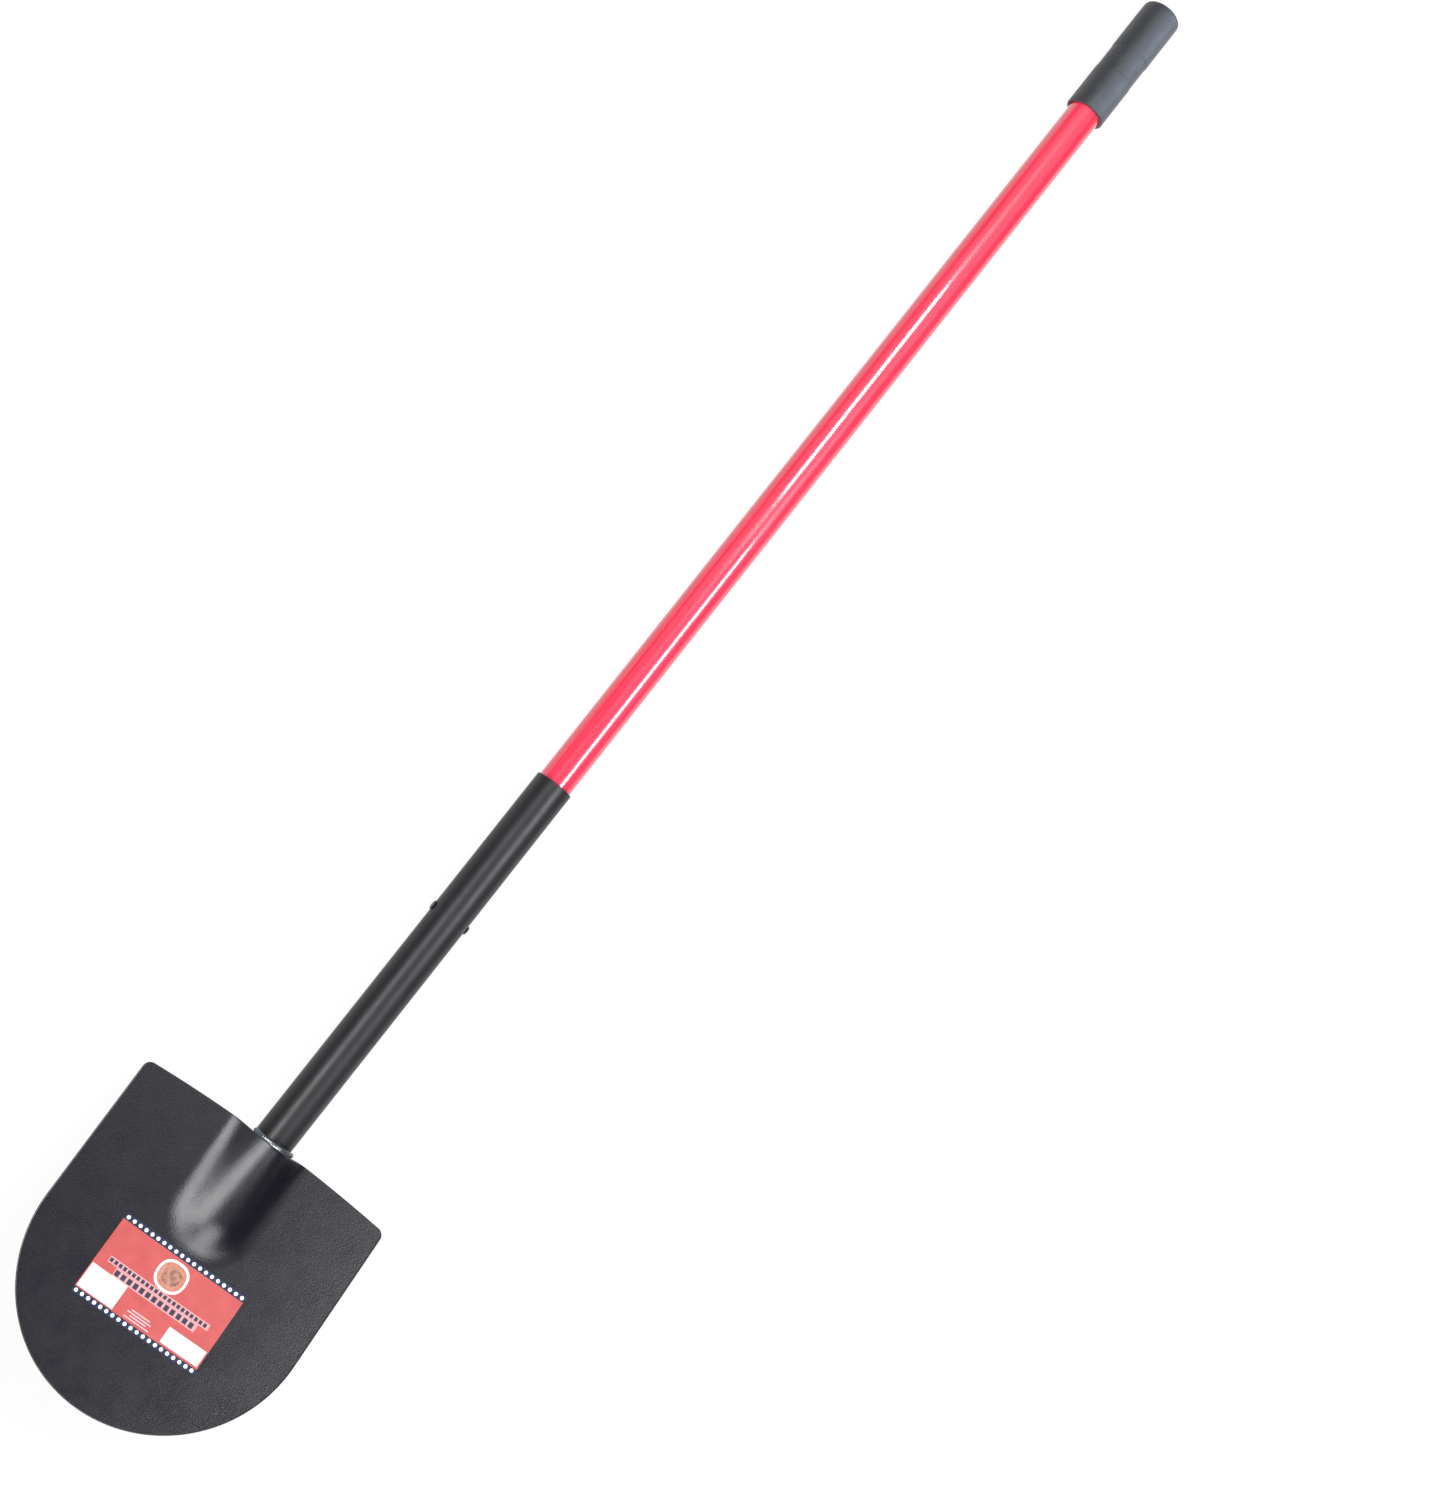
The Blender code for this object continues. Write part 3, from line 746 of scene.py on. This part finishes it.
class LabelPrint(Finish):
    """Printed shapes, as masks of 0 or 1 at each point of the label."""

    def __init__(self, name, **values):
        super().__init__(name, **values)
        split = self.node("SeparateXYZ", {"Vector": self.node("UVMap", uv_map="label").outputs["UV"]})
        self.x = self.math("MULTIPLY", split.outputs["X"], LABEL_WIDTH)
        self.y = self.math("MULTIPLY", split.outputs["Y"], LABEL_HEIGHT)

    def between(self, value, low, high, size):
        """1 where a length lies between two shares of a size."""
        return self.math("COMPARE", value, (low + high) / 2 * size, (high - low) / 2 * size)

    def box(self, left, right, low, high):
        in_x = self.between(self.x, left, right, LABEL_WIDTH)
        in_y = self.between(self.y, low, high, LABEL_HEIGHT)
        return self.math("MULTIPLY", in_x, in_y)

    def boxes(self, sides):
        """Several boxes as one mask."""
        masks = [self.box(*each) for each in sides]
        while len(masks) > 1:
            masks.append(self.math("MAXIMUM", masks.pop(0), masks.pop(0)))
        return masks[0]

    def badge(self, half_width, half_height):
        """A squarish oval about the badge's middle."""
        from_x = self.math("SUBTRACT", self.x, BADGE_X * LABEL_WIDTH)
        from_y = self.math("SUBTRACT", self.y, BADGE_Y * LABEL_HEIGHT)
        across = self.math("ABSOLUTE", self.math("DIVIDE", from_x, half_width))
        up = self.math("ABSOLUTE", self.math("DIVIDE", from_y, half_height))
        far = self.math("ADD", self.math("POWER", across, BADGE_SQUARENESS),
                        self.math("POWER", up, BADGE_SQUARENESS))
        return self.math("LESS_THAN", far, 1.0)

    def blocks(self, left, right, low, high, count):
        """A row of upright blocks that share a box evenly."""
        pitch = (right - left) * LABEL_WIDTH / count
        start = self.math("SUBTRACT", self.x, left * LABEL_WIDTH)
        phase = self.math("FRACT", self.math("DIVIDE", start, pitch))
        stripes = self.math("LESS_THAN", phase, BLOCK_SHARE)
        return self.math("MULTIPLY", self.box(left, right, low, high), stripes)

    def dots(self, y):
        """A row of round dots across the whole width."""
        pitch = LABEL_WIDTH / DOTS_IN_ROW
        phase = self.math("FRACT", self.math("DIVIDE", self.x, pitch))
        across = self.math("MULTIPLY", self.math("SUBTRACT", phase, 0.5), pitch)
        up = self.math("SUBTRACT", self.y, y * LABEL_HEIGHT)
        far = self.math("ADD", self.math("MULTIPLY", across, across), self.math("MULTIPLY", up, up))
        return self.math("LESS_THAN", far, DOT_RADIUS ** 2)


def label_print(name):
    """A generic label: red field, two navy bands of dots, a plain badge, plain blocks and blank boxes."""
    finish = LabelPrint(name, specular_ior_level=0.4)
    where = finish.place()
    red = finish.shades(finish.noise(where, 90.0, 4.0), (0.255, 0.044, 0.043), (0.285, 0.054, 0.052))
    color = finish.mix(finish.boxes(NAVY_BANDS), red, NAVY)
    dots = finish.math("MAXIMUM", *[finish.dots(y) for y in DOT_ROWS])
    color = finish.mix(dots, color, PAPER_WHITE)
    color = finish.mix(finish.boxes(BLANK_BOXES), color, PAPER_WHITE)
    for left, right, low, high, count in BLOCK_ROWS:
        outline = (left - BLOCK_RIM, right + BLOCK_RIM, low - 2 * BLOCK_RIM, high + 2 * BLOCK_RIM)
        color = finish.mix(finish.box(*outline), color, PANEL_PINK)
        color = finish.mix(finish.blocks(left, right, low, high, count), color, BLOCK_INK)
    color = finish.mix(finish.boxes(PALE_LINES), color, LINE_INK)
    color = finish.mix(finish.boxes(NOTE_LINES), color, NOTE_INK)
    tan = finish.shades(finish.noise(where, 260.0, 3.0), (0.23, 0.085, 0.055), (0.31, 0.14, 0.10))
    brown = finish.shades(finish.noise(where, 320.0, 4.0), (0.10, 0.045, 0.035), (0.28, 0.14, 0.10))
    color = finish.mix(finish.badge(0.0135, 0.0125), color, PAPER_WHITE)
    color = finish.mix(finish.badge(0.0115, 0.0105), color, tan)
    color = finish.mix(finish.badge(0.0078, 0.0070), color, brown)
    finish.feed("Base Color", color)
    finish.feed("Roughness", finish.spread(finish.noise(where, 300.0, 3.0), 0.32, 0.42))
    finish.feed("Normal", finish.bump(finish.noise(where, 55.0, 3.0), 0.0005, 0.25))
    return finish.mat


def make_label():
    """A thin sheet that follows the blade's face, with a UV layer for its print."""
    shares = [(i / LABEL_COLUMNS, j / LABEL_ROWS) for i in range(LABEL_COLUMNS + 1)
              for j in range(LABEL_ROWS + 1)]
    points = []
    for lift in (LABEL_LIFT, LABEL_LIFT + LABEL_THICKNESS):
        for across, down in shares:
            u = LABEL_U + LABEL_WIDTH * (across - 0.5)
            v = LABEL_V + LABEL_HEIGHT * (down - 0.5)
            points.append(TO_BLADE @ face_point(u, v, lift)[0])
    top = len(shares)
    faces = []
    for quad in grid_quads(LABEL_COLUMNS, LABEL_ROWS):
        faces.append(quad)
        faces.append(tuple(top + k for k in quad))
    rim = grid_rim(LABEL_COLUMNS, LABEL_ROWS)
    faces += band(rim, [top + k for k in rim])
    mesh = mesh_of("printed_label", points, faces)
    layer = mesh.uv_layers.new(name="label")
    for corner in mesh.loops:
        across, down = shares[corner.vertex_index % top]
        layer.data[corner.index].uv = (across, 1.0 - down)
    obj = finished("printed_label", mesh, label_print("printed_label"), "label_print", "blade_label")
    obj.data.set_sharp_from_angle(angle=SHARP_ANGLE)
    return obj


# ---- Studio ----

BOX_HEIGHT = 2.0
GRIP_MIDDLE = (0.68, 0.0, 0.0)
BLUE = (0.85, 1.0, 1.25)
WORLD_GLOW = 0.12
FLOOR_REACH = 30.0
FLOOR_DROP = 0.0005
FLOOR_GREY = (0.30, 0.30, 0.30, 1.0)
FLOOR_GLOW = 0.95
WHITE = (1.0, 1.0, 1.0, 1.0)
CAMERA_PLACE = (-0.33474, 0.39415, 1.84982)
CAMERA_TURN = (-2.024, -17.533, -50.600)  # degrees about X, Y and Z
CAMERA_LENS = 54.904  # mm
CAMERA_SENSOR = 36.0  # mm


def soft_box(name, place, aim, width, length, radiance, lit, tint=(1.0, 1.0, 1.0)):
    """A rectangular light, its length as near as it can be along X, flagged off all but the lit pieces."""
    light = bpy.data.lights.new(name, "AREA")
    light.shape = "RECTANGLE"
    light.size = length
    light.size_y = width
    light.energy = radiance * pi * width * length
    light.color = tint
    obj = bpy.data.objects.new(name, light)
    back = (Vector(place) - Vector(aim)).normalized()
    side = Vector((1.0, 0.0, 0.0))
    side = (side - back * side.dot(back)).normalized()
    up = back.cross(side)
    obj.matrix_world = Matrix.Translation(place) @ Matrix((side, up, back)).transposed().to_4x4()
    obj.visible_camera = False
    bpy.context.scene.collection.objects.link(obj)
    receivers = bpy.data.collections.new(name + "_receivers")
    for piece in lit:
        receivers.objects.link(piece)
    obj.light_linking.receiver_collection = receivers


def flat_box(name, x, y, width, length, radiance, lit):
    """A soft box that faces straight down."""
    soft_box(name, (x, y, BOX_HEIGHT), (x, y, 0.0), width, length, radiance, lit)


def make_world():
    """White to the camera, and dim to everything else."""
    world = bpy.data.worlds.new("studio")
    bpy.context.scene.world = world
    world.use_nodes = True
    tree = world.node_tree
    dim = tree.nodes["Background"]
    dim.inputs["Color"].default_value = WHITE
    dim.inputs["Strength"].default_value = WORLD_GLOW
    seen = tree.nodes.new("ShaderNodeBackground")
    seen.inputs["Color"].default_value = WHITE
    seen.inputs["Strength"].default_value = 1.0
    path = tree.nodes.new("ShaderNodeLightPath")
    mix = tree.nodes.new("ShaderNodeMixShader")
    tree.links.new(path.outputs["Is Camera Ray"], mix.inputs[0])
    tree.links.new(dim.outputs[0], mix.inputs[1])
    tree.links.new(seen.outputs[0], mix.inputs[2])
    tree.links.new(mix.outputs[0], tree.nodes["World Output"].inputs["Surface"])


def make_floor():
    """White paper just under the part, with a glow that takes out most of the shadows."""
    low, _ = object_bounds()
    mesh = bpy.data.meshes.new("floor")
    corners = [(-FLOOR_REACH, -FLOOR_REACH, 0), (FLOOR_REACH, -FLOOR_REACH, 0),
               (FLOOR_REACH, FLOOR_REACH, 0), (-FLOOR_REACH, FLOOR_REACH, 0)]
    mesh.from_pydata(corners, [], [(0, 1, 2, 3)])
    floor = bpy.data.objects.new("floor", mesh)
    floor.location.z = low.z - FLOOR_DROP
    paper = Finish("white_paper", roughness=0.9, specular_ior_level=0.2)
    paper.shader.inputs["Base Color"].default_value = FLOOR_GREY
    paper.shader.inputs["Emission Color"].default_value = WHITE
    paper.shader.inputs["Emission Strength"].default_value = FLOOR_GLOW
    mesh.materials.append(paper.mat)
    bpy.context.scene.collection.objects.link(floor)
    floor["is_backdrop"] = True
    return floor


def light_shaft(shaft_pieces, handle, grip):
    """Soft boxes whose long highlights run down the tube, the handle and the grip."""
    soft_box("box_over_tube", (-0.70, 1.22, BOX_HEIGHT), (-0.4, 0.0, 0.0),
             width=0.48, length=0.75, radiance=24.0, lit=shaft_pieces)
    soft_box("box_over_handle", (0.2575, -1.02, BOX_HEIGHT), (0.0, 0.0, 0.0),
             width=0.64, length=0.805, radiance=18.5, lit=shaft_pieces)
    soft_box("box_over_shaft_end", (0.985, 0.62, BOX_HEIGHT), (0.3, 0.0, 0.0),
             width=0.72, length=0.47, radiance=20.0, lit=shaft_pieces)
    soft_box("box_beyond_blade", (-3.0, -0.8, BOX_HEIGHT), (0.0, 0.0, 0.0),
             width=2.00, length=2.00, radiance=18.0, lit=shaft_pieces)
    flat_box("box_wide_over_handle", 1.60, 1.5, width=7.00, length=2.00, radiance=0.6, lit=[handle])
    soft_box("box_beside_grip", (1.90, -0.60, 1.70), GRIP_MIDDLE,
             width=2.20, length=0.90, radiance=6.0, lit=[grip], tint=BLUE)
    soft_box("box_low_by_grip", (2.1, -2.3, 1.2), GRIP_MIDDLE,
             width=1.40, length=1.60, radiance=8.4, lit=[grip], tint=BLUE)


def light_blade(blade_pieces, floor):
    """Wide soft boxes over the blade's two flats and its tip."""
    flat_box("box_left_of_blade", -0.42, 1.95, width=3.02, length=3.07, radiance=9.8, lit=blade_pieces)
    flat_box("box_beyond_tip", -2.50, -0.86, width=1.70, length=2.62, radiance=9.5, lit=blade_pieces)
    flat_box("box_right_of_blade", 1.19, -1.21, width=2.78, length=1.58, radiance=1.9,
             lit=[*blade_pieces, floor])


def make_camera():
    lens = bpy.data.cameras.new("camera")
    lens.lens = CAMERA_LENS
    lens.sensor_width = CAMERA_SENSOR
    camera = bpy.data.objects.new("camera", lens)
    camera.location = CAMERA_PLACE
    camera.rotation_euler = Euler([radians(a) for a in CAMERA_TURN], "XYZ")
    bpy.context.scene.collection.objects.link(camera)
    bpy.context.scene.camera = camera


def finish_inner_pieces():
    """Gives the hidden CAD pieces their materials."""
    for node, mat in (("handle_inner_tube", bare_fibreglass("bare_fibreglass")),
                      ("handle_core", plain_wood("plain_wood"))):
        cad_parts[node].data.materials.clear()
        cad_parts[node].data.materials.append(mat)


bpy.context.scene.view_settings.view_transform = "Standard"
welds = make_welds()
blade_pieces = [make_blade(), make_label(), *welds]
tube = make_socket_tube()
handle = make_handle()
rivet = make_rivet()
grip = make_grip()
finish_inner_pieces()
make_world()
floor = make_floor()
light_shaft([tube, handle, rivet, grip, welds[0]], handle, grip)
light_blade(blade_pieces, floor)
make_camera()
